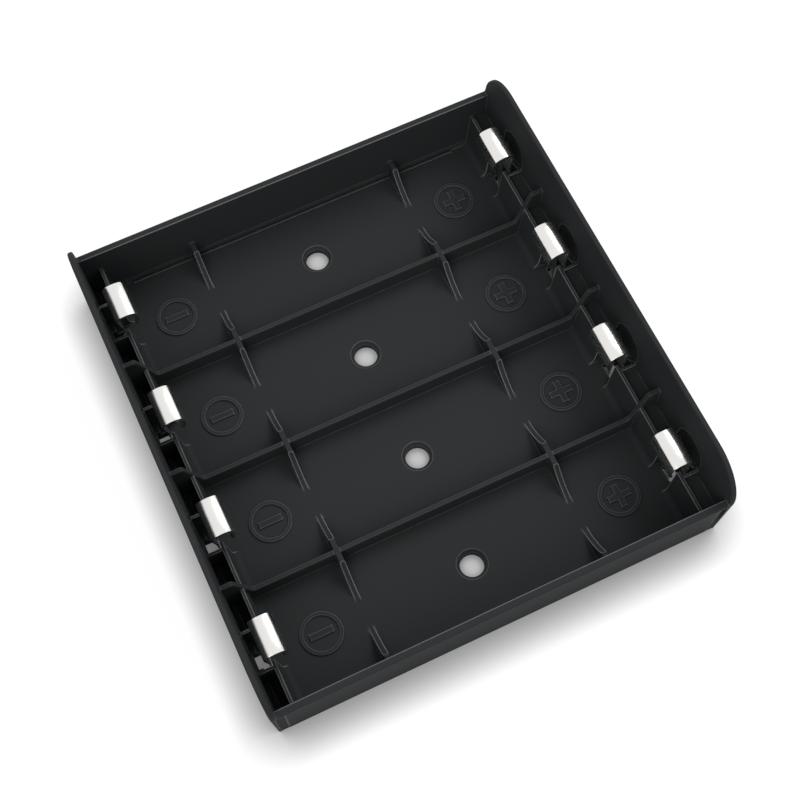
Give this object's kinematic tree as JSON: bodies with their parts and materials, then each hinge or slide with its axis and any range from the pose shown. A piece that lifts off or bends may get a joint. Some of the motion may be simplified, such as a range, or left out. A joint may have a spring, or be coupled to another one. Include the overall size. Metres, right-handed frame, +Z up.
{
  "type": "battery cell holder bracket",
  "caption": "Rectangular moulded tray that holds cylindrical battery cells side by side between sprung strip contacts, with a screw hole in each bay.",
  "frame": {"origin": "middle of the tray's underside", "axes": "+X along the cells from the minus end to the plus end, +Y across the bays towards bay 1, +Z up out of the open top"},
  "size_m": [0.0842, 0.091, 0.0225],
  "materials": {
    "black_plastic": "satin moulded",
    "nickel_plated_spring": "bright nickel plate"
  },
  "bodies": {
    "tray": {"holder_tray": "black_plastic"},
    "minus_contact_1": {"minus_contact_1": "nickel_plated_spring"},
    "minus_contact_2": {"minus_contact_2": "nickel_plated_spring"},
    "minus_contact_3": {"minus_contact_3": "nickel_plated_spring"},
    "minus_contact_4": {"minus_contact_4": "nickel_plated_spring"},
    "plus_contact_1": {"plus_contact_1": "nickel_plated_spring"},
    "plus_contact_2": {"plus_contact_2": "nickel_plated_spring"},
    "plus_contact_3": {"plus_contact_3": "nickel_plated_spring"},
    "plus_contact_4": {"plus_contact_4": "nickel_plated_spring"}
  },
  "joints": [
    {"name": "minus_contact_1_press", "type": "slide", "parent": "tray", "child": "minus_contact_1", "axis": [-1, 0, 0], "range_m": [0, 0.0006], "stiffness_N_per_m": 2500},
    {"name": "minus_contact_2_press", "type": "slide", "parent": "tray", "child": "minus_contact_2", "axis": [-1, 0, 0], "range_m": [0, 0.0006], "stiffness_N_per_m": 2500},
    {"name": "minus_contact_3_press", "type": "slide", "parent": "tray", "child": "minus_contact_3", "axis": [-1, 0, 0], "range_m": [0, 0.0006], "stiffness_N_per_m": 2500},
    {"name": "minus_contact_4_press", "type": "slide", "parent": "tray", "child": "minus_contact_4", "axis": [-1, 0, 0], "range_m": [0, 0.0006], "stiffness_N_per_m": 2500},
    {"name": "plus_contact_1_press", "type": "slide", "parent": "tray", "child": "plus_contact_1", "axis": [1, 0, 0], "range_m": [0, 0.0006], "stiffness_N_per_m": 2500},
    {"name": "plus_contact_2_press", "type": "slide", "parent": "tray", "child": "plus_contact_2", "axis": [1, 0, 0], "range_m": [0, 0.0006], "stiffness_N_per_m": 2500},
    {"name": "plus_contact_3_press", "type": "slide", "parent": "tray", "child": "plus_contact_3", "axis": [1, 0, 0], "range_m": [0, 0.0006], "stiffness_N_per_m": 2500},
    {"name": "plus_contact_4_press", "type": "slide", "parent": "tray", "child": "plus_contact_4", "axis": [1, 0, 0], "range_m": [0, 0.0006], "stiffness_N_per_m": 2500}
  ]
}
